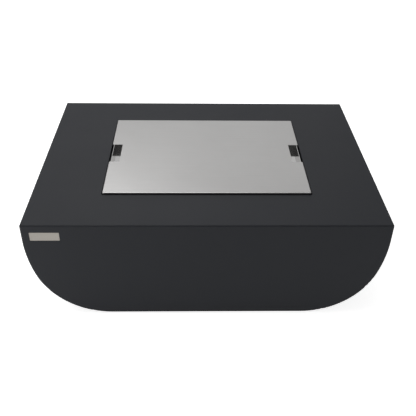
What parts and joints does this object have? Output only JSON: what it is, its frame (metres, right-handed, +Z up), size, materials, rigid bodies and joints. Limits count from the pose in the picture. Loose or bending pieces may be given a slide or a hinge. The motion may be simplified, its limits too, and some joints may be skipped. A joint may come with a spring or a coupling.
{
  "type": "gas fire table",
  "caption": "Low boat-shaped concrete gas fire table with a flat lift-off steel lid over a burner pan, rock grate and lava rock.",
  "frame": {"origin": "on the floor, under the middle of the table", "axes": "+X along the long side to the right as seen from the front, +Y to the back where the controls are, +Z up"},
  "size_m": [1.07, 0.8, 0.35],
  "materials": {
    "concrete": "smooth cast, sealed",
    "badge": "satin",
    "foot_rubber": "matte",
    "lid_steel": "satin brushed",
    "pan_steel": "mill finish",
    "burner_steel": "heat-tinted",
    "grate_steel": "high-temperature black",
    "lava": "rough, porous",
    "screw_steel": "bright zinc",
    "brass": "machined",
    "black_plastic": "moulded",
    "button_plastic": "moulded",
    "hose_rubber": "smooth",
    "tube_metal": "drawn",
    "lead_copper": "drawn copper",
    "lead_cover": "glass-fibre sleeve",
    "bumper_rubber": "soft silicone"
  },
  "bodies": {
    "table_body": {"concrete_shell": "concrete", "badge_plate": "badge", "foot_pad_front_left": "foot_rubber", "foot_pad_front_right": "foot_rubber", "foot_pad_back_left": "foot_rubber", "foot_pad_back_right": "foot_rubber", "burner_pan": "pan_steel", "pan_screws": "screw_steel", "burner_ring": "burner_steel", "burner_saddles": "burner_steel", "burner_mixer": "burner_steel", "gas_orifice": "brass", "rock_grate": "grate_steel", "grate_legs": "grate_steel", "lava_rocks": "lava", "pilot_bracket": "burner_steel", "pilot_burner": "burner_steel", "spark_electrode": "burner_steel", "thermocouple": "burner_steel", "pilot_shield": "burner_steel", "heat_shield": "pan_steel", "heat_shield_spacers": "pan_steel", "control_box": "pan_steel", "control_panel": "pan_steel", "panel_screws": "screw_steel", "box_screws": "screw_steel", "gas_valve": "brass", "valve_nut": "screw_steel", "igniter_body": "black_plastic", "igniter_battery": "screw_steel", "inlet_bracket": "pan_steel", "inlet_screws": "screw_steel", "gas_inlet_fitting": "brass", "inlet_nut": "screw_steel", "inlet_hose": "hose_rubber", "burner_hose": "tube_metal", "pilot_tube": "tube_metal", "thermocouple_lead": "lead_copper", "ignition_lead": "lead_cover", "tube_nuts": "brass"},
    "lid": {"lid_panel": "lid_steel", "lid_hand_cup_left": "lid_steel", "lid_hand_cup_right": "lid_steel", "lid_stiffener_left": "pan_steel", "lid_stiffener_right": "pan_steel", "lid_bumpers": "bumper_rubber"},
    "air_shutter": {"air_shutter": "burner_steel"},
    "valve_spindle": {"valve_spindle": "brass"},
    "control_knob": {"control_knob": "black_plastic"},
    "igniter_cap": {"igniter_cap": "black_plastic"},
    "igniter_button": {"igniter_button": "button_plastic"}
  },
  "joints": [
    {"name": "lid_lift", "type": "slide", "parent": "table_body", "child": "lid", "axis": [0, 0, 1], "range_m": [0, 0.25]},
    {"name": "air_shutter_turn", "type": "hinge", "parent": "table_body", "child": "air_shutter", "pos_m": [0, 0.1, 0.17], "axis": [0, 0, 1], "range_deg": [-45, 45]},
    {"name": "valve_turn", "type": "hinge", "parent": "table_body", "child": "valve_spindle", "pos_m": [-0.052, 0.353, 0.19], "axis": [0, 1, 0], "range_deg": [0, 180]},
    {"name": "knob_push", "type": "slide", "parent": "valve_spindle", "child": "control_knob", "axis": [0, -1, 0], "range_m": [0, 0.004], "stiffness_N_per_m": 900, "springref_m": -0.003},
    {"name": "igniter_cap_off", "type": "slide", "parent": "table_body", "child": "igniter_cap", "axis": [0, 1, 0], "range_m": [0, 0.03]},
    {"name": "igniter_press", "type": "slide", "parent": "igniter_cap", "child": "igniter_button", "axis": [0, -1, 0], "range_m": [0, 0.003], "stiffness_N_per_m": 900, "springref_m": -0.003}
  ]
}
